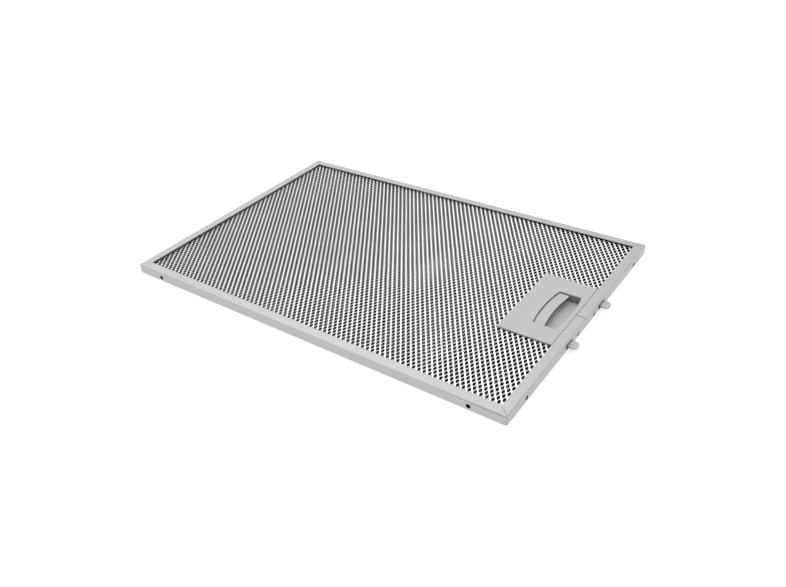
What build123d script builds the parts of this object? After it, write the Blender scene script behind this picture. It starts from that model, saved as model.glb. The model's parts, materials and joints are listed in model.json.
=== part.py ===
from build123d import *
import os
from math import sqrt

# Grease filter cassette of a cooker hood, in millimetres.
# X runs along the long side towards the latch, Y along the latch side, Z up out of the front face.
# The origin is the centre of the frame's rear plane.

# Frame strip: one aluminium channel folded round the four sides
frame_length = 380.0
frame_width = 267.0
frame_height = 9.0
strip_thickness = 0.7
flange_width = 8.6
fold_radius = 1.2
corner_radius = 1.6
cut_gap = 0.3
drain_diameter = 3.2
drain_corner_distance = 30.0
drain_height = 3.9
stake_spacing = 31.2
stake_height = 3.7
stake_size = 2.4
stake_depth = 1.2

# Pack of expanded sheets; the openings are drawn larger than the real ones, which are too many for solids
outer_sheet_rise = 1.2
inner_sheet_count = 3
pack_clearance = 0.7
sheet_edge_gap = 0.5
strand_width = 7.5
strand_lean = 2.4
outer_columns = 9
outer_rows = 4
inner_columns = 5
inner_rows = 2

# Latch cover, with depths measured in from the outside of the latch wall
cover_depth = 55.0
cover_width = 89.4
cover_thickness = 0.8
cover_overhang = 1.3
cover_edge_round = 0.4
skirt_depth = 1.0
skirt_tuck = 3.5
opening_width = 50.8
opening_back_depth = 36.2
opening_front_depth = 12.5
opening_corner_radius = 1.2
bow_radius = 135.0
peg_length = 4.0
peg_thickness = 1.6
peg_depth = 3.0

# Latch housing
housing_wall = 1.2
housing_floor_top = 1.5
housing_rear_recess = 0.3
fit_gap = 0.2
slide_gap = 0.3
guide_rib = 1.0
guide_rib_pitch = 6.4

# Latch slider
bar_back_depth = 35.5
bar_depth = 8.8
bar_width = 48.0
bar_rise = 2.1
bar_lip = 1.0
bar_undercut = 3.5
bar_corner_radius = 1.4
arm_thickness = 1.9
tongue_spacing = 63.2
tongue_width = 9.0
tongue_reach = 7.6
tongue_chamfer = 0.5
slot_length = 11.8
slot_above = 0.8
slot_below = 1.9
slot_corner_radius = 1.4
spring_block = 3.0

# Return springs
spring_outer_diameter = 4.2
spring_wire = 0.5
spring_turns = 5
spring_facets = 8
spring_bore_gap = 0.4

# Places worked out from the sizes above
half_length = frame_length / 2
half_width = frame_width / 2
wall_inside_x = half_length - strip_thickness
wall_inside_y = half_width - strip_thickness
window_x = half_length - flange_width
window_y = half_width - flange_width
flange_under_z = frame_height - strip_thickness

pack_top_z = flange_under_z - pack_clearance
cover_under_z = pack_top_z + slide_gap
cover_top_z = cover_under_z + cover_thickness
skirt_under_z = cover_under_z - skirt_depth
cover_back_x = half_length - cover_depth
cover_front_x = window_x - slide_gap
skirt_front_x = window_x + skirt_tuck
cover_half_width = cover_width / 2
opening_back_x = half_length - opening_back_depth
opening_front_x = half_length - opening_front_depth
opening_half_width = opening_width / 2

housing_back_x = cover_back_x + cover_overhang
housing_front_x = wall_inside_x - fit_gap
housing_step_x = window_x - slide_gap
housing_half_width = cover_half_width - cover_overhang
tray_back_x = housing_back_x + housing_wall
tray_front_x = housing_front_x - housing_wall
tray_half_width = housing_half_width - housing_wall
pocket_wall_y = opening_half_width + housing_wall
peg_y = tray_half_width - housing_wall - peg_thickness / 2
peg_back_x = tray_back_x + housing_wall + peg_length / 2
peg_front_x = skirt_front_x - housing_wall - peg_length / 2

bar_top_z = cover_under_z - slide_gap
arm_top_z = bar_top_z - bar_rise
arm_bottom_z = arm_top_z - arm_thickness
arm_middle_z = arm_top_z - arm_thickness / 2
bar_back_x = half_length - bar_back_depth
bar_front_x = bar_back_x + bar_depth
bar_web_x = bar_front_x - bar_undercut
tongue_y = tongue_spacing / 2
tongue_tip_x = half_length + tongue_reach
spring_solid_length = (spring_turns + 1) * spring_wire
spring_length = spring_solid_length + tongue_reach + 2 * slide_gap
spring_front_x = tray_back_x + spring_length
spring_bore_radius = spring_outer_diameter / 2 - spring_wire
spring_pin_side = (spring_bore_radius - spring_bore_gap) * sqrt(2)
spring_pin_length = spring_solid_length / 2
guide_back_x = spring_front_x + spring_block + slide_gap


def block(x_low, x_high, y_low, y_high, z_low, z_high):
    """Plain block between two corners."""
    size = (x_high - x_low, y_high - y_low, z_high - z_low)
    return Pos(x_low, y_low, z_low) * Box(*size, align=Align.MIN)


def upright(sketch, z_low, z_high):
    """Extrude a sketch of the XY plane between two heights."""
    return Pos(0, 0, z_low) * extrude(sketch, z_high - z_low)


def bow_rise(y):
    """How far an arc of the latch's bow radius falls away from its middle at a distance y."""
    return bow_radius - sqrt(bow_radius**2 - y**2)


def bowed_strip(back_x, front_x, half_span, back_sense, front_sense):
    """Face between two arcs of the bow radius, with straight ends at plus and minus half_span.

    A sense of +1 carries the ends of an arc towards +X, and -1 towards -X.
    """
    back_end_x = back_x + back_sense * bow_rise(half_span)
    front_end_x = front_x + front_sense * bow_rise(half_span)
    back = ThreePointArc((back_end_x, -half_span), (back_x, 0), (back_end_x, half_span))
    front = ThreePointArc((front_end_x, half_span), (front_x, 0), (front_end_x, -half_span))
    far_end = Line(back @ 1, front @ 0)
    near_end = Line(front @ 1, back @ 0)
    return make_face(Curve() + [back, far_end, front, near_end])


def tongue_slots(x_low, x_high, spare):
    """Pair of cutters that let the tongues through a wall, grown by a spare amount all round."""
    slot_height = arm_thickness + slot_above + slot_below
    slot_z = arm_bottom_z - slot_below + slot_height / 2
    slot = RectangleRounded(slot_length + 2 * spare, slot_height + 2 * spare, slot_corner_radius)
    cutter = extrude(Plane.YZ * slot, x_high - x_low)
    return [Pos(x_low, side * tongue_y, slot_z) * cutter for side in (-1, 1)]


def stakes(mouth_x, size):
    """Pair of square plugs for the punch marks on both sides of the seam."""
    plug = Box(stake_depth, size, size, align=(Align.MAX, Align.CENTER, Align.CENTER))
    return [Pos(mouth_x, side * stake_spacing / 2, stake_height) * plug for side in (-1, 1)]


# Frame: a folded channel, open at the mitres of its flanges and at the butt seam on the latch side
def make_frame():
    outside = extrude(RectangleRounded(frame_length, frame_width, corner_radius), frame_height)
    outside = fillet(outside.faces().filter_by(Axis.Z).edges(), fold_radius)
    hollow_outline = RectangleRounded(2 * wall_inside_x, 2 * wall_inside_y, corner_radius - strip_thickness)
    hollow = upright(hollow_outline, strip_thickness, flange_under_z)
    window = upright(Rectangle(2 * window_x, 2 * window_y), 0, frame_height)
    strip = outside - hollow - window

    mitre_length = (flange_width - fold_radius) * sqrt(2)
    mitre = block(-cut_gap, mitre_length, -cut_gap / 2, cut_gap / 2, 0, frame_height)
    corners = ((1, 1, 45), (-1, 1, 135), (-1, -1, 225), (1, -1, 315))
    mitres = [
        Pos(x_side * window_x, y_side * window_y, 0) * Rot(0, 0, turn) * mitre
        for x_side, y_side, turn in corners
    ]
    seam = block(window_x, half_length, -cut_gap / 2, cut_gap / 2, 0, frame_height)

    drain_x = half_length - drain_corner_distance
    drain_y = half_width - drain_corner_distance
    long_side_drain = Rot(90, 0, 0) * Cylinder(drain_diameter / 2, frame_width)
    short_side_drain = Rot(0, 90, 0) * Cylinder(drain_diameter / 2, frame_length)
    drains = [Pos(side * drain_x, 0, drain_height) * long_side_drain for side in (-1, 1)]
    drains += [Pos(0, side * drain_y, drain_height) * short_side_drain for side in (-1, 1)]

    strip -= mitres + [seam] + drains
    strip -= tongue_slots(wall_inside_x, half_length, 0)
    strip += stakes(wall_inside_x, stake_size + strip_thickness)
    strip -= stakes(half_length, stake_size)
    return strip


# Expanded sheet: leaning strands round diamond openings, with a bay for the latch housing
def make_sheet(z_low, z_high, columns, rows, lean):
    edge_x = wall_inside_x - sheet_edge_gap
    edge_y = wall_inside_y - sheet_edge_gap
    bay_x = housing_back_x - sheet_edge_gap
    bay_y = housing_half_width + sheet_edge_gap
    blank = block(-edge_x, edge_x, -edge_y, edge_y, z_low, z_high)
    blank -= block(bay_x, edge_x, -bay_y, bay_y, z_low, z_high)

    cell_x = 2 * window_x / columns
    cell_y = 2 * window_y / rows
    strand_spacing = cell_x * cell_y / sqrt(cell_x**2 + cell_y**2)
    open_share = 1 - strand_width / strand_spacing
    half_x = open_share * cell_x / 2
    half_y = open_share * cell_y / 2
    diamond = make_face(Polyline((half_x, 0), (0, half_y), (-half_x, 0), (0, -half_y), close=True))
    slant = Vector(lean, 0, z_high - z_low)
    opening = extrude(diamond, slant.length, dir=slant)
    openings = []
    for row in range(2 * rows + 1):
        offset = row % 2
        for column in range(columns + 1 - offset):
            x = -window_x + (column + offset / 2) * cell_x - lean / 2
            y = -window_y + row * cell_y / 2
            openings.append(Pos(x, y, z_low) * opening)

    pierced = block(-window_x, window_x, -window_y, window_y, z_low, z_high)
    pierced -= block(cover_back_x, window_x, -cover_half_width, cover_half_width, z_low, z_high)
    return blank - pierced + (pierced - openings)


# Latch cover: plate with the finger opening, on a skirt that is pegged into the housing
def make_cover():
    depth = cover_front_x - cover_back_x
    outline = Pos(cover_back_x + depth / 2, 0) * Rectangle(depth, cover_width)
    cover = upright(outline, cover_under_z, cover_top_z)
    cover = fillet(cover.faces().sort_by(Axis.Z)[-1].edges(), cover_edge_round)
    half = housing_half_width
    cover += block(housing_back_x, skirt_front_x, -half, half, skirt_under_z, cover_under_z)

    opening = bowed_strip(opening_back_x, opening_front_x, opening_half_width, 1, -1)
    opening = fillet(opening.vertices(), opening_corner_radius)
    cover -= upright(opening, skirt_under_z, cover_top_z)
    bar_run_x = bar_back_x - tongue_reach - slide_gap
    bar_run = bowed_strip(bar_run_x, bar_front_x, bar_width / 2 + slide_gap, 1, 1)
    cover -= upright(bar_run, skirt_under_z, cover_under_z)

    for x in (peg_back_x, peg_front_x):
        for y in (-peg_y, peg_y):
            peg = Box(peg_length, peg_thickness, peg_depth, align=(Align.CENTER, Align.CENTER, Align.MAX))
            cover += Pos(x, y, skirt_under_z) * peg
    return cover


# Latch housing: moulded tray with the finger pocket, the arms' guides, the spring pins and the peg sockets
def make_housing():
    rear_z = strip_thickness + fit_gap
    half = housing_half_width
    tray = block(housing_back_x, housing_step_x, -half, half, housing_rear_recess, skirt_under_z)
    tray += block(housing_step_x, housing_front_x, -half, half, rear_z, skirt_under_z)
    tray -= block(
        tray_back_x, tray_front_x, -tray_half_width, tray_half_width, housing_floor_top, skirt_under_z
    )

    pocket_front = bowed_strip(opening_front_x, opening_front_x + housing_wall, pocket_wall_y, -1, -1)
    tray += upright(pocket_front, housing_floor_top, skirt_under_z)
    stop_x = bar_web_x + bow_rise(pocket_wall_y) + slide_gap
    pocket_end_x = opening_front_x - bow_rise(pocket_wall_y) + housing_wall
    pin = Box(spring_pin_length, spring_pin_side, spring_pin_side)
    for side in (-1, 1):
        near_y, far_y = sorted((side * opening_half_width, side * pocket_wall_y))
        tray += block(stop_x, pocket_end_x, near_y, far_y, housing_floor_top, skirt_under_z)
        for rib_y in (side * tongue_y - guide_rib_pitch / 2, side * tongue_y + guide_rib_pitch / 2):
            low_y = rib_y - guide_rib / 2
            high_y = rib_y + guide_rib / 2
            rib_top = arm_bottom_z - slide_gap
            tray += block(guide_back_x, tray_front_x, low_y, high_y, housing_floor_top, rib_top)
        fence_inside = tongue_y + tongue_width / 2 + slide_gap
        near_y, far_y = sorted((side * fence_inside, side * (fence_inside + guide_rib)))
        tray += block(guide_back_x, tray_front_x, near_y, far_y, housing_floor_top, arm_top_z)
        tray += Pos(tray_back_x + spring_pin_length / 2, side * tongue_y, arm_middle_z) * pin

        for peg_x in (peg_back_x, peg_front_x):
            socket_x = peg_length / 2 + fit_gap
            socket_y = peg_thickness / 2 + fit_gap
            boss_x = peg_length / 2 + housing_wall
            boss_y = peg_thickness / 2 + housing_wall
            boss = block(-boss_x, boss_x, -boss_y, boss_y, housing_floor_top, skirt_under_z)
            socket_floor = skirt_under_z - peg_depth - fit_gap
            boss -= block(-socket_x, socket_x, -socket_y, socket_y, socket_floor, skirt_under_z)
            tray += Pos(peg_x, side * peg_y, 0) * boss

    tray -= tongue_slots(tray_front_x, housing_front_x, fit_gap)
    tray -= stakes(wall_inside_x, stake_size + strip_thickness + 2 * fit_gap)
    return tray


# Latch slider: finger bar with an undercut lip, two arms ending in round tongues, and the spring blocks
def make_slider():
    slider = upright(bowed_strip(bar_back_x, bar_web_x, tongue_y, 1, 1), arm_bottom_z, arm_top_z)
    web = bowed_strip(bar_back_x, bar_web_x, bar_width / 2 - bar_corner_radius, 1, 1)
    slider += upright(web, arm_top_z, bar_top_z - bar_lip)
    lip = bowed_strip(bar_back_x, bar_front_x, bar_width / 2, 1, 1)
    lip = fillet(lip.vertices(), bar_corner_radius)
    slider += upright(lip, bar_top_z - bar_lip, bar_top_z)

    tip_radius = tongue_width / 2
    arm_length = tongue_tip_x - spring_front_x - tip_radius
    outline = Rectangle(arm_length, tongue_width, align=(Align.MIN, Align.CENTER))
    outline += Pos(arm_length, 0) * Circle(tip_radius)
    arm = extrude(outline, arm_thickness)
    arm = chamfer(arm.edges().filter_by(GeomType.CIRCLE), tongue_chamfer)
    block_half_height = spring_outer_diameter / 2
    arm += block(
        0,
        spring_block,
        -tip_radius,
        tip_radius,
        arm_thickness / 2 - block_half_height,
        arm_thickness / 2 + block_half_height,
    )
    pin = Box(spring_pin_length, spring_pin_side, spring_pin_side)
    arm += Pos(-spring_pin_length / 2, 0, arm_thickness / 2) * pin
    return slider + [Pos(spring_front_x, side * tongue_y, arm_bottom_z) * arm for side in (-1, 1)]


# Return spring: a coil between the housing's back wall and one arm, drawn as square wire in facets
def make_spring(side):
    coil_radius = (spring_outer_diameter - spring_wire) / 2
    coil_length = spring_length - 2 * spring_wire
    steps = spring_turns * spring_facets
    points = [
        Vector(coil_radius, 0, coil_length * step / steps).rotate(Axis.Z, 360 * step / spring_facets)
        for step in range(steps + 1)
    ]
    path = Polyline(*points)
    section = Plane(path @ 0, z_dir=path % 0) * Rectangle(spring_wire, spring_wire)
    coil = sweep(section, path, transition=Transition.RIGHT)
    return Pos(tray_back_x + spring_wire, side * tongue_y, arm_middle_z) * Rot(0, 90, 0) * coil


rear_sheet_top = strip_thickness + outer_sheet_rise
front_sheet_foot = pack_top_z - outer_sheet_rise
inner_sheet_rise = (front_sheet_foot - rear_sheet_top) / inner_sheet_count

rear_mesh = make_sheet(strip_thickness, rear_sheet_top, outer_columns, outer_rows, -strand_lean)
front_mesh = make_sheet(front_sheet_foot, pack_top_z, outer_columns, outer_rows, strand_lean)
pieces = {
    "frame": make_frame(),
    "rear_mesh": rear_mesh,
    "front_mesh": front_mesh,
    "latch_cover": make_cover(),
    "latch_housing": make_housing(),
    "latch_slider": make_slider(),
    "return_spring_left": make_spring(1),
    "return_spring_right": make_spring(-1),
}
for layer in range(inner_sheet_count):
    foot = rear_sheet_top + layer * inner_sheet_rise
    lean = strand_lean if layer % 2 else -strand_lean
    sheet = make_sheet(foot, foot + inner_sheet_rise, inner_columns, inner_rows, lean)
    pieces[f"inner_mesh_{layer + 1}"] = sheet

os.makedirs("parts", exist_ok=True)
for name, piece in pieces.items():
    export_step(piece, f"parts/{name}.step")
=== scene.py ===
import json
from math import ceil, cos, pi, radians, sin, sqrt, tau

import bmesh
import bpy
from mathutils import Matrix, Vector, noise


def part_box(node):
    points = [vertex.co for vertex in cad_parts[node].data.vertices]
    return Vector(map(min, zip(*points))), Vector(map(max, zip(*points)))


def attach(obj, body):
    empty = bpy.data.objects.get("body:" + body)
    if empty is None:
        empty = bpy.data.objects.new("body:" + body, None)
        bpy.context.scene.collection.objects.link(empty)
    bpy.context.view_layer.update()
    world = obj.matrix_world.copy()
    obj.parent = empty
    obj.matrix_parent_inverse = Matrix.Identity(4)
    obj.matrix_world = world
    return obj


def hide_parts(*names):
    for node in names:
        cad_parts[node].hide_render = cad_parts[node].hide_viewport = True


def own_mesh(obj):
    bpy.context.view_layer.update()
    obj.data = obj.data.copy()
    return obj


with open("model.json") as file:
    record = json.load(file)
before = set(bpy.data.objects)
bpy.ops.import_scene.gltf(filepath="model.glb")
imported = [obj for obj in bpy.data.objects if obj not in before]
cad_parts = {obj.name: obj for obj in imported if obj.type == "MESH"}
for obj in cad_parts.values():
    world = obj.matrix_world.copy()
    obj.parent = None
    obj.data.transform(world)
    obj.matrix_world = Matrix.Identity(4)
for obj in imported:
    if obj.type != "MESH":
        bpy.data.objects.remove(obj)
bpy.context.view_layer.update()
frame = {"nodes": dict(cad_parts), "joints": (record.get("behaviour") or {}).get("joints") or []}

# Frame strip: one satin aluminium strip, roll-formed to a channel and bent round four corners with its
# flanges mitred, its ends butted in the middle of the latch side. Drain holes and tongue slots are punched
# through its walls, and two stakes beside the seam grip the latch housing.
MM = 0.001
strip_thickness = 0.7 * MM
flange_width = 8.6 * MM
fold_radius = 1.2 * MM
corner_radius = 1.6 * MM
cut_gap = 0.3 * MM
drain_radius = 1.6 * MM
drain_corner_distance = 30 * MM
drain_height = 3.9 * MM
stake_spacing = 31.2 * MM
stake_height = 3.7 * MM
stake_size = 2.4 * MM
stake_depth = 0.9 * MM
stake_raggedness = 0.25
stake_ripple = 1.7
slot_length = 11.8 * MM
slot_low = 1.7 * MM
slot_high = 6.3 * MM
slot_corner_radius = 1.4 * MM
tongue_y = 31.6 * MM
edge_break = 0.08 * MM
fold_segments = 6
hole_segments = 32
frame_low, frame_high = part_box("frame")
half_length = frame_high.x
half_width = frame_high.y
frame_height = frame_high.z
window_x = half_length - flange_width
window_y = half_width - flange_width
scuff_place = (-124 * MM, -half_width, 4.3 * MM)
cutter_reach = 5 * MM
cut_tolerance = 1e-9
same_place = 1e-6
shade_fade = 0.2 * MM
# Near-black grey that the finishes use for painted shade.
painted_shade_grey = 0.03


def block(bm, low, high):
    """Adds a box between two corners and returns its vertices."""
    low, high = Vector(low), Vector(high)
    place = Matrix.Translation((low + high) / 2) @ Matrix.Diagonal((high - low).to_4d())
    return bmesh.ops.create_cube(bm, size=1.0, matrix=place)["verts"]


def edges_of(verts):
    """All edges that have both ends among the vertices."""
    chosen = set(verts)
    return [e for e in {e for v in chosen for e in v.link_edges} if chosen.issuperset(e.verts)]


def along(edges, axis):
    """The edges that run along one axis, given as 0, 1 or 2."""
    return [e for e in edges if abs((e.verts[0].co - e.verts[1].co).normalized()[axis]) > 0.999]


def round_edges(bm, edges, radius, segments):
    """Rounds edges to a radius."""
    bmesh.ops.bevel(
        bm, geom=edges, offset=radius, segments=segments, profile=0.5, affect="EDGES", material=-1
    )


def slice_through(bm, point, normal, clear_outer=False):
    """Cuts the whole mesh along a plane, and may drop what lies on the normal's side."""
    geom = bm.verts[:] + bm.edges[:] + bm.faces[:]
    bmesh.ops.bisect_plane(
        bm, geom=geom, dist=cut_tolerance, plane_co=point, plane_no=normal, clear_outer=clear_outer
    )


def object_from(name, bm):
    """Turns a bmesh into an object at the origin."""
    mesh = bpy.data.meshes.new(name)
    bm.to_mesh(mesh)
    bm.free()
    made = bpy.data.objects.new(name, mesh)
    bpy.context.scene.collection.objects.link(made)
    return made


def bake(piece):
    """Writes a piece's modifiers into its mesh."""
    graph = bpy.context.evaluated_depsgraph_get()
    piece.data = bpy.data.meshes.new_from_object(piece.evaluated_get(graph))
    piece.modifiers.clear()


def combine(piece, tool_bm, operation):
    """Cuts a tool shape out of a piece, or joins it on."""
    tool = object_from("tool", tool_bm)
    boolean = piece.modifiers.new("combine", "BOOLEAN")
    boolean.object = tool
    boolean.operation = operation
    boolean.solver = "EXACT"
    bake(piece)
    bpy.data.objects.remove(tool)


def soften(piece, width, segments=2, angle=40):
    """Takes the sharpness off a piece's edges and shades its curves smoothly."""
    bevel = piece.modifiers.new("soften", "BEVEL")
    bevel.width = width
    bevel.segments = segments
    bevel.limit_method = "ANGLE"
    bevel.angle_limit = radians(angle)
    bevel.use_clamp_overlap = True
    bake(piece)
    piece.data.shade_smooth()
    piece.data.set_sharp_from_angle(angle=radians(angle))
    piece.modifiers.new("flat_faces", "WEIGHTED_NORMAL").keep_sharp = True


def install(piece, body, slot, material, *nodes):
    """Gives a finished piece its material and its body, and hides the CAD nodes that it stands for."""
    piece.data.materials.clear()
    piece.data.materials.append(material)
    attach(piece, body)
    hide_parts(*nodes)


class Wire:
    """A socket in a material. Arithmetic on wires adds Math nodes, and add() makes any other node."""

    def __init__(self, tree, socket=None):
        self.tree = tree
        self.socket = socket

    def add(self, kind, settings=None, sockets=None, output=0):
        node = self.tree.nodes.new(kind)
        for name, value in (settings or {}).items():
            setattr(node, name, value)
        for name, value in (sockets or {}).items():
            if isinstance(value, Wire):
                self.tree.links.new(value.socket, node.inputs[name])
            else:
                node.inputs[name].default_value = value
        return Wire(self.tree, node.outputs[output] if len(node.outputs) else None)

    def math(self, operation, *values):
        return self.add("ShaderNodeMath", {"operation": operation}, dict(enumerate(values)))

    def __add__(self, other):
        return self.math("ADD", self, other)

    def __sub__(self, other):
        return self.math("SUBTRACT", self, other)

    def __rsub__(self, other):
        return self.math("SUBTRACT", other, self)

    def __mul__(self, other):
        return self.math("MULTIPLY", self, other)

    __radd__ = __add__
    __rmul__ = __mul__

    def __abs__(self):
        return self.math("ABSOLUTE", self)

    def larger(self, other):
        """The larger of two values."""
        return self.math("MAXIMUM", self, other)

    def ramp(self, low, high):
        """Smooth step from 0 at low to 1 at high."""
        settings = {"interpolation_type": "SMOOTHSTEP"}
        return self.add("ShaderNodeMapRange", settings, {"Value": self, "From Min": low, "From Max": high})

    def noise(self, scale, detail=2.0):
        """Noise between 0 and 1 on this vector, with features of about 1 / scale metres."""
        return self.add("ShaderNodeTexNoise", None, {"Vector": self, "Scale": scale, "Detail": detail})

    def split(self):
        """The three coordinates of this vector."""
        return [self.add("ShaderNodeSeparateXYZ", None, {"Vector": self}, output=i) for i in range(3)]

    def distance(self, point):
        """How far this position is from a point."""
        return self.add("ShaderNodeVectorMath", {"operation": "DISTANCE"}, {0: self, 1: point}, "Value")

    def stretched(self, x, y, z):
        """This vector scaled along each axis."""
        sockets = {0: self, 1: (x, y, z)}
        return self.add("ShaderNodeVectorMath", {"operation": "MULTIPLY"}, sockets)

    def tint(self, dark, light):
        """Colour between two greys, or two colours, by this value."""
        sockets = {"Factor": self, "A": dark, "B": light}
        return self.add("ShaderNodeMix", {"data_type": "RGBA"}, sockets, output="Result")


def new_finish(name):
    """A blank material, its Object coordinates, and a function that closes it with one shader."""
    material = bpy.data.materials.new(name)
    material.use_nodes = True
    tree = material.node_tree
    tree.nodes.clear()
    place = Wire(tree).add("ShaderNodeTexCoord", output="Object")

    def close(bump_height=None, bump_distance=0.0, **sockets):
        named = {key.replace("_", " "): value for key, value in sockets.items()}
        if bump_height is not None:
            heights = {"Height": bump_height, "Distance": bump_distance}
            named["Normal"] = place.add("ShaderNodeBump", None, heights)
        shader = place.add("ShaderNodeBsdfPrincipled", None, named)
        place.add("ShaderNodeOutputMaterial", None, {"Surface": shader})
        return material

    return place, close


def grey(value):
    """An opaque grey."""
    return (value, value, value, 1.0)


def satin_strip():
    """Rolled aluminium with a fine grain along the strip, faint clouding and one scuff on the near wall.

    It has painted shade in the channel, the drain holes, the stake dents and the seam's gap, and under the
    near corner's fold.
    """
    place, close = new_finish("satin_strip")
    x, y, z = place.split()
    from_short_wall = half_length - abs(x)
    from_long_wall = half_width - abs(y)
    on_long_side = from_long_wall.math("LESS_THAN", from_long_wall, from_short_wall)
    grain_x = place.stretched(0.02, 1, 1).noise(4200)
    grain_y = place.stretched(1, 0.02, 1).noise(4200)
    grain = on_long_side * grain_x + (1 - on_long_side) * grain_y
    cloud = place.noise(45)
    ragged = place.noise(1800)
    scuff = (1 - place.distance(scuff_place).ramp(0.3 * MM, 1.4 * MM)) * ragged
    tone = cloud * 0.5 + grain * 0.5 - scuff * 0.8

    # Painted shade inside the channel, behind the strip's outer faces.
    behind_face = (0.25 * MM, 0.55 * MM)
    channel_low = 0.8 * MM
    channel_high = frame_height - channel_low
    depth = from_short_wall.math("MINIMUM", from_short_wall, from_long_wall)
    above_low = z.ramp(channel_low, channel_low + shade_fade)
    below_high = 1 - z.ramp(channel_high - shade_fade, channel_high)
    dark = depth.ramp(*behind_face) * (above_low * below_high)

    # Painted shade in the drain holes, reaching a little past their edges.
    drain_rim = drain_radius + 0.15 * MM
    above_drain = z - drain_height
    for span, end in ((x, half_length), (y, half_width)):
        past_drain = abs(span) - (end - drain_corner_distance)
        reach = past_drain * past_drain + above_drain * above_drain
        dark = dark.larger(1 - reach.ramp(drain_rim**2, (drain_rim + shade_fade) ** 2))

    # Painted shade in the ragged stake dents.
    stake_and_seam_shade = 0.8
    stake_stretch = 0.6
    stake_fray = 1.6 * MM
    stake_rim = (1.7 * MM, 2.5 * MM)
    for stake_y in (-stake_spacing / 2, stake_spacing / 2):
        stake_middle = (half_length, stake_stretch * stake_y, stake_height)
        away = place.stretched(1, stake_stretch, 1).distance(stake_middle)
        dark = dark.larger(stake_and_seam_shade * (1 - (away + stake_fray * ragged).ramp(*stake_rim)))

    # Painted shade along the seam's gap, on the latch-side flange and the top of its wall.
    seam_edge = 0.25 * MM
    seam_height = (7.4 * MM, 8.4 * MM)
    seam = 1 - abs(y).ramp(seam_edge, seam_edge + shade_fade)
    seam = seam * x.ramp(window_x - MM, window_x) * z.ramp(*seam_height)
    dark = dark.larger(stake_and_seam_shade * seam)

    # Painted shade under the top fold of the near long wall, growing towards the near corner.
    fold_strength = 0.4
    fold_low = (7.2 * MM, 7.6 * MM)
    fold_high = (8.0 * MM, 8.4 * MM)
    fold_run = (130 * MM, 185 * MM)
    wall_skin = (0.4 * MM - half_width, 0.8 * MM - half_width)
    under_fold = z.ramp(*fold_low) * (1 - z.ramp(*fold_high))
    near_corner = x.ramp(*fold_run) * (1 - y.ramp(*wall_skin))
    dark = dark.larger(fold_strength * under_fold * near_corner)
    return close(
        Base_Color=dark.tint(tone.tint(grey(0.44), grey(0.52)), grey(painted_shade_grey)),
        Metallic=0.85,
        Roughness=0.44 + 0.1 * grain + 0.1 * (cloud - 0.5),
        bump_height=grain,
        bump_distance=0.01 * MM,
    )


def frame_skin():
    """Outer skin of the strip: a box with rounded corners and folds, open at both windows."""
    bm = bmesh.new()
    block(bm, frame_low, frame_high)
    round_edges(bm, along(bm.edges, 2), corner_radius, fold_segments)
    rims = [e for e in bm.edges if abs(e.verts[0].co.z - e.verts[1].co.z) < same_place]
    round_edges(bm, rims, fold_radius, fold_segments)
    for side in (-1, 1):
        slice_through(bm, (side * window_x, 0, 0), (1, 0, 0))
        slice_through(bm, (0, side * window_y, 0), (0, 1, 0))
    window = [
        f for f in bm.faces
        if abs(f.calc_center_median().x) < window_x and abs(f.calc_center_median().y) < window_y
    ]
    bmesh.ops.delete(bm, geom=window, context="FACES")
    return bm


def frame_punches():
    """Everything that is cut through the strip: mitres, seam, drain holes and tongue slots."""
    bm = bmesh.new()
    mitre_length = (flange_width - fold_radius) * sqrt(2)
    for x_side in (-1, 1):
        for y_side in (-1, 1):
            low = (-cut_gap, -cut_gap / 2, -cutter_reach)
            slit = block(bm, low, (mitre_length, cut_gap / 2, frame_height + cutter_reach))
            turn = Vector((x_side, y_side)).angle_signed(Vector((1, 0)))
            corner = Vector((x_side * window_x, y_side * window_y, 0))
            place = Matrix.Translation(corner) @ Matrix.Rotation(turn, 4, "Z")
            bmesh.ops.transform(bm, matrix=place, verts=slit)
    seam_low = (window_x - cutter_reach, -cut_gap / 2, -cutter_reach)
    block(bm, seam_low, (half_length + cutter_reach, cut_gap / 2, frame_height + cutter_reach))

    drain_x = Vector((half_length - drain_corner_distance, 0, 0))
    drain_y = Vector((0, half_width - drain_corner_distance, 0))
    for side in (-1, 1):
        for spread, turn_axis in ((drain_x, "X"), (drain_y, "Y")):
            middle = side * spread + Vector((0, 0, drain_height))
            bmesh.ops.create_cone(
                bm,
                cap_ends=True,
                segments=hole_segments,
                radius1=drain_radius,
                radius2=drain_radius,
                depth=2 * half_length + cutter_reach,
                matrix=Matrix.Translation(middle) @ Matrix.Rotation(pi / 2, 4, turn_axis),
            )
        low = (half_length - cutter_reach, side * tongue_y - slot_length / 2, slot_low)
        high = (half_length + cutter_reach, side * tongue_y + slot_length / 2, slot_high)
        slot = block(bm, low, high)
        round_edges(bm, along(edges_of(slot), 0), slot_corner_radius, fold_segments)
    return bm


def stake_plugs(size, depth, face_x):
    """Ragged plugs for the two stakes, pressed in from a face at face_x."""
    bm = bmesh.new()
    for side in (-1, 1):
        middle = Vector((face_x, side * stake_spacing / 2, stake_height))
        ball = bmesh.ops.create_icosphere(bm, subdivisions=3, radius=1.0)["verts"]
        own_pattern = Vector((side * 5.0, 0, 0))
        for v in ball:
            v.co *= 1 + stake_raggedness * noise.noise(v.co * stake_ripple + own_pattern)
        place = Matrix.Translation(middle) @ Matrix.Diagonal((depth, size / 2, size / 2, 1))
        bmesh.ops.transform(bm, matrix=place, verts=ball)
    return bm


skin = frame_skin()
bmesh.ops.solidify(skin, geom=skin.faces[:], thickness=strip_thickness)
bmesh.ops.recalc_face_normals(skin, faces=skin.faces[:])
frame_strip = object_from("frame_strip", skin)
combine(frame_strip, frame_punches(), "DIFFERENCE")
inner_face_x = half_length - strip_thickness
combine(frame_strip, stake_plugs(stake_size + strip_thickness, stake_depth, inner_face_x), "UNION")
combine(frame_strip, stake_plugs(stake_size, stake_depth, half_length), "DIFFERENCE")
soften(frame_strip, edge_break)
strip_finish = satin_strip()
install(frame_strip, "cassette", "frame_strip", strip_finish, "frame")

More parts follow.
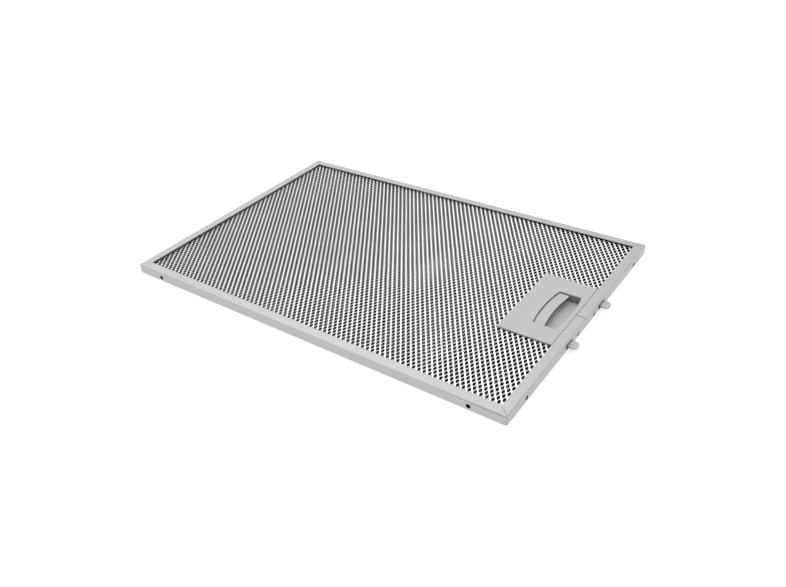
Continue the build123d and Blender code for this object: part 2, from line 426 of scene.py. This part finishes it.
# Outer sheets: aluminium slit and stretched to a mesh of leaning strands, sheared to size and tucked under
# the frame's flanges. They are stiff enough to hold the thinner layers between them.
sheet_edge_gap = 0.5 * MM
short_way = 4.7 * MM
long_way = 7.14 * MM
outer_strand = (1.15 * MM, 0.3 * MM)
outer_lean = radians(-9)
outer_bond = 1.5 * MM
sheet_low, sheet_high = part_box("front_mesh")
housing_low, housing_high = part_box("latch_housing")
bay_x = housing_low.x - sheet_edge_gap
bay_y = housing_high.y + sheet_edge_gap


def zigzag_pair(pitch_x, pitch_y, strand, lean, bond):
    """One period of two neighbouring strands as open tubes, joined to each other at their bond."""
    width, thickness = strand
    row = pitch_y / 2
    half_across = Vector((cos(lean), 0, -sin(lean))) * width / 2
    half_outward = Vector((sin(lean), 0, cos(lean))) * thickness / 2
    corners = [half_across * a + half_outward * b for a, b in ((-1, -1), (1, -1), (1, 1), (-1, 1))]
    right = Vector((pitch_x / 4, 0, 0)) - half_across
    start = Vector((0, -bond / 2, 0)) + right
    stops = (
        (bond / 2, right),
        (row - bond / 2, -right),
        (row + bond / 2, -right),
        (pitch_y - bond / 2, right),
    )
    bm = bmesh.new()
    for shift in (Vector((0, 0, 0)), Vector((pitch_x / 2, row, 0))):
        ring = [bm.verts.new(shift + start + corner) for corner in corners]
        edges = [bm.edges.new((ring[i], ring[(i + 1) % 4])) for i in range(4)]
        at = start
        for y, offset in stops:
            made = bmesh.ops.extrude_edge_only(bm, edges=edges)["geom"]
            target = Vector((0, y, 0)) + offset
            ends = [g for g in made if isinstance(g, bmesh.types.BMVert)]
            bmesh.ops.translate(bm, vec=target - at, verts=ends)
            edges = [
                g for g in made
                if isinstance(g, bmesh.types.BMEdge) and abs(g.verts[0].co.y - g.verts[1].co.y) < same_place
            ]
            at = target
    return bm


def expanded_sheet(name, middle_z, pitch_x, pitch_y, strand, lean, bond, shift=(0, 0)):
    """A whole sheet: the strand pair repeated both ways, sheared along its edges and at the latch bay."""
    sheet = object_from(name, zigzag_pair(pitch_x, pitch_y, strand, lean, bond))
    counts = (2 * ceil(sheet_high.x / pitch_x) + 3, 2 * ceil(sheet_high.y / pitch_y) + 3)
    for axis, (count, pitch) in enumerate(zip(counts, (pitch_x, pitch_y))):
        array = sheet.modifiers.new("repeat", "ARRAY")
        array.count = count
        array.use_relative_offset = False
        array.use_constant_offset = True
        array.constant_offset_displace = [pitch * (i == axis) for i in range(3)]
        array.use_merge_vertices = axis == 1
        array.merge_threshold = same_place
    bake(sheet)
    bm = bmesh.new()
    bm.from_mesh(sheet.data)
    start_x = (shift[0] - (counts[0] - 1) / 2) * pitch_x
    start_y = (shift[1] - (counts[1] - 1) / 2) * pitch_y
    start = Vector((start_x, start_y, middle_z))
    bmesh.ops.translate(bm, vec=start, verts=bm.verts)
    for side in (-1, 1):
        slice_through(bm, (side * sheet_high.x, 0, 0), (side, 0, 0), clear_outer=True)
        slice_through(bm, (0, side * sheet_high.y, 0), (0, side, 0), clear_outer=True)

    def cut_near(point, normal, low, high):
        faces = []
        for f in bm.faces:
            middle = f.calc_center_median()
            if low[0] < middle.x < high[0] and low[1] < middle.y < high[1]:
                faces.append(f)
        geom = list({e for f in faces for e in f.edges}) + list({v for f in faces for v in f.verts}) + faces
        bmesh.ops.bisect_plane(bm, geom=geom, dist=cut_tolerance, plane_co=point, plane_no=normal)

    for side in (-1, 1):
        edge = side * bay_y
        cut_near((0, edge, 0), (0, 1, 0), (bay_x - pitch_x, edge - pitch_y), (half_length, edge + pitch_y))
    cut_near((bay_x, 0, 0), (1, 0, 0), (bay_x - pitch_x, -bay_y), (bay_x + pitch_x, bay_y))
    bay = [
        f for f in bm.faces
        if f.calc_center_median().x > bay_x and abs(f.calc_center_median().y) < bay_y
    ]
    bmesh.ops.delete(bm, geom=bay, context="FACES")
    bmesh.ops.holes_fill(bm, edges=[e for e in bm.edges if e.is_boundary], sides=0)
    bmesh.ops.recalc_face_normals(bm, faces=bm.faces[:])
    bm.to_mesh(sheet.data)
    bm.free()
    return sheet


def bright_strand(name, dark, light, roughness):
    """Bare aluminium, bright where it was slit and duller where the degreasing bath has clouded it."""
    place, close = new_finish(name)
    cloud = place.noise(60)
    strand_tone = place.noise(260, detail=1.0)
    return close(
        Base_Color=(cloud * 0.5 + strand_tone * 0.5).tint(grey(dark), grey(light)),
        Metallic=1.0,
        Roughness=roughness + 0.16 * (cloud - 0.5) + 0.1 * (strand_tone - 0.5),
        bump_height=place.noise(5000),
        bump_distance=0.01 * MM,
    )


outer_finish = bright_strand("bright_strand", dark=0.81, light=0.93, roughness=0.34)
outer_rise = 2 * outer_strand[0] * abs(sin(outer_lean)) + outer_strand[1] * cos(outer_lean)
front_middle = sheet_high.z - outer_rise / 2
rear_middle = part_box("rear_mesh")[0].z + outer_rise / 2
front_sheet = expanded_sheet(
    "front_sheet", front_middle, short_way, long_way, outer_strand, outer_lean, outer_bond
)
install(front_sheet, "cassette", "outer_mesh", outer_finish, "front_mesh")
rear_sheet = expanded_sheet(
    "rear_sheet", rear_middle, short_way, long_way, outer_strand, -outer_lean, outer_bond
)
install(rear_sheet, "cassette", "outer_mesh", outer_finish, "rear_mesh")

# Inner layers: thinner foil, expanded to nearly the same pitch and laid between the outer sheets, so that
# their strands lie across the openings in front of them and catch the grease.
inner_strand = (1.3 * MM, 0.2 * MM)
inner_bond = 0.9 * MM
foil_lean = radians(20)
foil_stretch = 0.035
foil_shifts = ((0.5, 0.0), (0.25, 0.25), (0.25, -0.25))
# The inner foil is given a near-black colour: painted shade for the inside of the pack, where little light
# reaches.
inner_finish = bright_strand("foil_in_painted_shade", dark=0.03, light=0.06, roughness=0.45)
inner_room = (front_middle - rear_middle - outer_rise) / len(foil_shifts)
for layer, shift in enumerate(foil_shifts):
    middle_z = rear_middle + outer_rise / 2 + (layer + 0.5) * inner_room
    lean = foil_lean if layer % 2 else -foil_lean
    stretch = 1 + foil_stretch * (layer + 1)
    pitch_x = short_way * stretch
    pitch_y = long_way * stretch
    name = f"foil_layer_{layer + 1}"
    foil = expanded_sheet(name, middle_z, pitch_x, pitch_y, inner_strand, lean, inner_bond, shift)
    install(foil, "cassette", "inner_mesh", inner_finish, f"inner_mesh_{layer + 1}")

# Latch housing: tray moulded in grey plastic, held in the bay of the mesh by the staked frame. Its pocket
# takes the finger, its ribs guide the slider, and its back wall carries the springs.
opening_half_width = 25.4 * MM
channel_x = half_length - 3 * MM


def grained_plastic(name, painted_shade_at):
    """Light grey moulding with a fine spark-eroded grain and faint flow marks, with painted shade in its
    recesses.
    """
    place, close = new_finish(name)
    grain = place.noise(2600, detail=3.0)
    flow = place.stretched(1, 0.35, 1).noise(55)
    tone = (flow * 0.7 + grain * 0.3).tint(grey(0.44), grey(0.49))
    return close(
        # Painted shade: the mask tints the grain towards near-black.
        Base_Color=painted_shade_at(*place.split()).tint(tone, grey(painted_shade_grey)),
        Roughness=0.5 + 0.16 * grain,
        bump_height=grain,
        bump_distance=0.02 * MM,
    )


def tray_painted_shade(x, y, z):
    """Painted shade at the ends of the finger pocket and on all that lies inside the frame's channel."""
    pocket_end = abs(y).ramp(opening_half_width - shade_fade, opening_half_width)
    channel = x.ramp(channel_x - MM, channel_x)
    return channel.larger(0.6 * pocket_end)


housing = frame["nodes"]["latch_housing"]
housing.data.materials.clear()
housing.data.materials.append(grained_plastic("tray_plastic", tray_painted_shade))

# Return springs: coils of drawn steel wire between the housing's back wall and the slider's two arms. They
# push the tongues out and close up as the bar is pulled back, but here they are built at rest on the
# cassette.
wire_radius = 0.25 * MM
coil_turns = 5
coil_steps = 24
wire_segments = 8
latch_travel = frame["joints"][0]["range_m"][1]


def drawn_wire():
    """Steel wire with fine draw lines and a slight oil tint."""
    place, close = new_finish("drawn_wire")
    lines = place.noise(3000)
    return close(
        Base_Color=lines.tint(grey(0.42), grey(0.6)),
        Metallic=1.0,
        Roughness=0.28 + 0.2 * lines,
    )


wire_finish = drawn_wire()
for node in ("return_spring_left", "return_spring_right"):
    spring_low, spring_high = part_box(node)
    middle = (spring_low + spring_high) / 2
    coil_radius = (spring_high.y - spring_low.y) / 2 - wire_radius
    coil_run = spring_high.x - spring_low.x - 2 * wire_radius
    bm = bmesh.new()
    start = Matrix.Translation((spring_low.x + wire_radius, middle.y, middle.z + coil_radius))
    across = start @ Matrix.Rotation(pi / 2, 4, "X")
    bmesh.ops.create_circle(bm, segments=wire_segments, radius=wire_radius, matrix=across)
    bmesh.ops.spin(
        bm,
        geom=bm.verts[:] + bm.edges[:],
        cent=middle,
        axis=(1, 0, 0),
        dvec=(coil_run / (coil_turns * coil_steps), 0, 0),
        angle=coil_turns * tau,
        steps=coil_turns * coil_steps,
    )
    bmesh.ops.holes_fill(bm, edges=[e for e in bm.edges if e.is_boundary], sides=0)
    bmesh.ops.recalc_face_normals(bm, faces=bm.faces[:])
    coil = object_from(node.replace("return_spring", "coil"), bm)
    coil.data.shade_smooth()
    install(coil, "cassette", "spring_wire", wire_finish, node)
    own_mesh(coil)

# Latch slider: one grey moulding with a curved finger bar across the pocket and two arms, whose round
# tongues pass out through the frame's slots into the hood. It slides in the housing's guides.
bow_radius = 135 * MM
bow_segments = 32
bar_back_x = 154.5 * MM
bar_front_x = 163.3 * MM
bar_undercut = 3.5 * MM
bar_lip = 1.0 * MM
bar_half_width = 24 * MM
bar_corner_radius = 1.4 * MM
bar_rise = 2.1 * MM
arm_thickness = 1.9 * MM
tongue_width = 9 * MM
neck_width = 7.2 * MM
tongue_segments = 48
spring_block = 3 * MM
spring_block_height = 4.2 * MM
spring_pin = 1.5 * MM
pin_radii = (1.0 * MM, 1.2 * MM)
pin_segments = 24
slider_edge = 0.3 * MM
slider_low, slider_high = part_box("latch_slider")
bar_top = slider_high.z
arm_top = bar_top - bar_rise
arm_low = arm_top - arm_thickness
arm_middle = (arm_low + arm_top) / 2
arm_back_x = slider_low.x + spring_pin
tip_radius = tongue_width / 2
tip_x = slider_high.x - tip_radius
web_x = bar_front_x - bar_undercut
lip_foot = bar_top - bar_lip
neck_x = half_length - 3 * MM


def bow_rise(y):
    """How far an arc of the latch's bow radius falls away from its middle at a distance y."""
    return bow_radius - sqrt(bow_radius**2 - y**2)


def bowed_slab(back, front, half_span, low_z, high_z, rounding=0.0):
    """A block between two arcs, each given as its middle x and the sense of its ends along X."""
    bm = bmesh.new()
    sheet = bmesh.ops.create_grid(bm, x_segments=1, y_segments=bow_segments, size=1.0)["verts"]
    for v in sheet:
        y = v.co.y * half_span
        middle_x, sense = front if v.co.x > 0 else back
        v.co = (middle_x + sense * bow_rise(y), y, low_z)
    faces = list({f for v in sheet for f in v.link_faces})
    raised = bmesh.ops.extrude_face_region(bm, geom=faces)["geom"]
    raised = [g for g in raised if isinstance(g, bmesh.types.BMVert)]
    bmesh.ops.translate(bm, vec=(0, 0, high_z - low_z), verts=raised)
    bmesh.ops.recalc_face_normals(bm, faces=bm.faces[:])
    if rounding:
        upright = along(edges_of(sheet + raised), 2)
        ends = [e for e in upright if abs(e.verts[0].co.y) > half_span - same_place]
        round_edges(bm, ends, rounding, fold_segments)
    return bm


def slab(low, high):
    """A plain box between two corners."""
    bm = bmesh.new()
    block(bm, low, high)
    return bm


def round_bar(place, length, low_radius, high_radius, segments):
    """A round bar or taper along the Z axis of its place."""
    bm = bmesh.new()
    bmesh.ops.create_cone(
        bm,
        cap_ends=True,
        segments=segments,
        radius1=low_radius,
        radius2=high_radius,
        depth=length,
        matrix=place,
    )
    return bm


back_arc = (bar_back_x, 1)
web_arc = (web_x, 1)
lip_arc = (bar_front_x, 1)
slider = object_from("slider_moulding", bowed_slab(back_arc, web_arc, tongue_y, arm_low, arm_top))
web_half_width = bar_half_width - bar_corner_radius
web = bowed_slab(back_arc, web_arc, web_half_width, arm_middle, lip_foot + bar_lip / 2)
combine(slider, web, "UNION")
lip = bowed_slab(back_arc, lip_arc, bar_half_width, lip_foot, bar_top, bar_corner_radius)
combine(slider, lip, "UNION")
for side in (-1, 1):
    middle_y = side * tongue_y
    tip_place = Matrix.Translation((tip_x, middle_y, arm_middle))
    combine(slider, round_bar(tip_place, arm_thickness, tip_radius, tip_radius, tongue_segments), "UNION")
    arm_corner = (arm_back_x, middle_y - tip_radius, arm_low)
    combine(slider, slab(arm_corner, (neck_x, middle_y + tip_radius, arm_top)), "UNION")
    neck_corner = (neck_x - spring_block, middle_y - neck_width / 2, arm_low)
    combine(slider, slab(neck_corner, (tip_x, middle_y + neck_width / 2, arm_top)), "UNION")
    seat_low = (arm_back_x, middle_y - tip_radius, slider_low.z)
    seat_high = (arm_back_x + spring_block, middle_y + tip_radius, slider_low.z + spring_block_height)
    combine(slider, slab(seat_low, seat_high), "UNION")
    pin_place = Matrix.Translation((arm_back_x, middle_y, arm_middle)) @ Matrix.Rotation(pi / 2, 4, "Y")
    combine(slider, round_bar(pin_place, 2 * spring_pin, *pin_radii, pin_segments), "UNION")
soften(slider, slider_edge, segments=3)


def slider_painted_shade(x, y, z):
    """Painted shade on the front of the bar under its lip, and on the tongues where they stand in the
    frame's slots.
    """
    lip_edge = bar_top - 0.3 * MM
    lip_front = 1 - z.ramp(lip_edge - shade_fade, lip_edge)
    under_lip = 1 - z.ramp(lip_foot - shade_fade, lip_foot)
    indoors = 1 - x.ramp(neck_x, neck_x + MM)
    in_slot = (1 - indoors) * (1 - x.ramp(half_length, half_length + 0.4 * MM))
    return indoors * (0.5 * lip_front + 0.35 * under_lip) + 0.9 * in_slot


slider_finish = grained_plastic("slider_plastic", slider_painted_shade)
install(slider, "latch", "latch_plastic", slider_finish, "latch_slider")

# Latch cover: flat grey plate moulded with a barrel-shaped finger opening. Its skirt is pegged into the
# housing and tucked under the frame's flange, and is cut away where the finger bar runs.
cover_thickness = 0.8 * MM
skirt_depth = 1.0 * MM
slide_gap = 0.3 * MM
opening_back_x = 153.8 * MM
opening_front_x = 177.5 * MM
opening_corner_radius = 1.2 * MM
peg_size = Vector((4.0, 1.6, 3.0)) * MM
peg_y = 40.2 * MM
peg_back_inset = 4.4 * MM
peg_front_inset = 3.2 * MM
mesh_gap = 0.05 * MM
plate_edge = 0.4 * MM
cover_low, cover_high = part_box("latch_cover")
plate_under = cover_high.z - cover_thickness
plate_foot = sheet_high.z + mesh_gap
plate_front_x = window_x - slide_gap
skirt_under = plate_under - skirt_depth
skirt_top = (plate_under + cover_high.z) / 2
peg_centres_x = (housing_low.x + peg_back_inset, cover_high.x - peg_front_inset)
cut_low = skirt_under - skirt_depth
cut_high = cover_high.z + skirt_depth

plate_corner = (cover_low.x, cover_low.y, plate_foot)
cover = object_from("cover_plate", slab(plate_corner, (plate_front_x, cover_high.y, cover_high.z)))
skirt_corner = (housing_low.x, housing_low.y, skirt_under)
combine(cover, slab(skirt_corner, (plate_front_x - slide_gap, housing_high.y, skirt_top)), "UNION")
tuck_corner = (opening_front_x, housing_low.y, skirt_under)
combine(cover, slab(tuck_corner, (cover_high.x, housing_high.y, plate_under)), "UNION")
half_peg = Vector((peg_size.x / 2, peg_size.y / 2, 0))
peg_reach = Vector((0, 0, peg_size.z + skirt_depth / 2))
for x in peg_centres_x:
    for y in (-peg_y, peg_y):
        foot = Vector((x, y, skirt_under - peg_size.z))
        combine(cover, slab(foot - half_peg, foot + half_peg + peg_reach), "UNION")
opening_arcs = ((opening_back_x, 1), (opening_front_x, -1))
opening = bowed_slab(*opening_arcs, opening_half_width, cut_low, cut_high, opening_corner_radius)
combine(cover, opening, "DIFFERENCE")
run_arc = (bar_back_x - latch_travel - slide_gap, 1)
bar_run = bowed_slab(run_arc, lip_arc, bar_half_width + slide_gap, cut_low, plate_under)
combine(cover, bar_run, "DIFFERENCE")
soften(cover, plate_edge, segments=4)


def cover_painted_shade(x, y, z):
    """Painted shade along the joint between the plate and the frame's flange, and on the walls of the
    opening below the plate.
    """
    joint_edge = plate_front_x - 0.3 * MM
    joint = x.ramp(joint_edge - shade_fade, joint_edge)
    below = 1 - z.ramp(plate_under - 0.4 * MM, plate_under + 0.1 * MM)
    below = below * (1 - abs(y).ramp(opening_half_width + MM, opening_half_width + 2 * MM))
    return (0.6 * joint).larger(0.6 * below)


cover_finish = grained_plastic("cover_plastic", cover_painted_shade)
install(cover, "cassette", "latch_plastic", cover_finish, "latch_cover")

# Stage: a white table that the filter lies on, glowing beside it as painted light and with a painted shadow
# under it, a pale sky that is a little brighter behind the far corner, one wide lamp overhead, and a camera
# with the place and the lens of the photograph's.
floor_half_size = 60.0
floor_drop = 0.1 * MM
floor_glow = 0.64
shade_margin = 4 * MM


def pale_floor():
    """A white table that glows evenly beside the filter as painted light; under the filter its glow fades
    out, a painted shadow.
    """
    place, close = new_finish("pale_floor")
    x, y = place.split()[:2]
    past_end = abs(x) - half_length
    past_side = abs(y) - half_width
    beside = past_end.larger(past_side).ramp(-shade_margin, 0.0)
    # Painted light: the table glows beside the filter. Painted shadow: the glow fades out under it.
    return close(
        Base_Color=place.noise(3).tint(grey(0.48), grey(0.52)),
        Roughness=0.8,
        Emission_Color=beside.tint(grey(0.0), grey(1.0)),
        Emission_Strength=floor_glow,
    )


floor_bm = bmesh.new()
bmesh.ops.create_grid(floor_bm, x_segments=1, y_segments=1, size=floor_half_size)
bmesh.ops.translate(floor_bm, vec=(0, 0, -floor_drop), verts=floor_bm.verts)
floor = object_from("floor", floor_bm)
floor.data.materials.append(pale_floor())

world = bpy.data.worlds.new("studio")
world.use_nodes = True
world.node_tree.nodes.clear()
bpy.context.scene.world = world
sky_strength = 0.79
sky_rise = 0.22
brighter_side = (-0.63, 0.77, 0.1)
sky = Wire(world.node_tree).add("ShaderNodeTexCoord", output="Generated")
sides = {0: sky, 1: brighter_side}
away = sky.add("ShaderNodeVectorMath", {"operation": "DOT_PRODUCT"}, sides, "Value")
strength = sky_strength + sky_rise * away.ramp(-1.0, 0.9)
glow = sky.add("ShaderNodeBackground", None, {"Color": grey(1.0), "Strength": strength})
sky.add("ShaderNodeOutputWorld", None, {"Surface": glow})

overhead = bpy.data.lights.new("overhead", "AREA")
overhead.size = 1.6
overhead.energy = 10.0
lamp = bpy.data.objects.new("overhead", overhead)
lamp.location = (-0.6, 0.25, 1.5)
lamp.rotation_euler = (-lamp.location).to_track_quat("-Z", "Y").to_euler()
bpy.context.scene.collection.objects.link(lamp)

photo_width = 786
photo_focal = 768.02
photo_centre_x = 351.886
sight = (39.2, 33.71, 4.30)
camera_distance = 670.28 * MM
aim = Vector((1.76 * MM, -58.23 * MM, 0))
azimuth, elevation, roll = (radians(angle) for angle in sight)
backward = Vector((sin(azimuth) * cos(elevation), -cos(azimuth) * cos(elevation), sin(elevation)))
level_right = Vector((cos(azimuth), sin(azimuth), 0))
level_up = backward.cross(level_right)
right = cos(roll) * level_right - sin(roll) * level_up
up = sin(roll) * level_right + cos(roll) * level_up
lens = bpy.data.cameras.new("camera")
lens.sensor_width = 36.0
lens.lens = photo_focal * lens.sensor_width / photo_width
lens.shift_x = (photo_width / 2 - photo_centre_x) / photo_width
lens.clip_start = 0.01
camera = bpy.data.objects.new("camera", lens)
turn = Matrix((right, up, backward)).transposed().to_4x4()
camera.matrix_world = Matrix.Translation(aim + backward * camera_distance) @ turn
bpy.context.scene.collection.objects.link(camera)
bpy.context.scene.camera = camera
bpy.context.scene.view_settings.view_transform = "Standard"
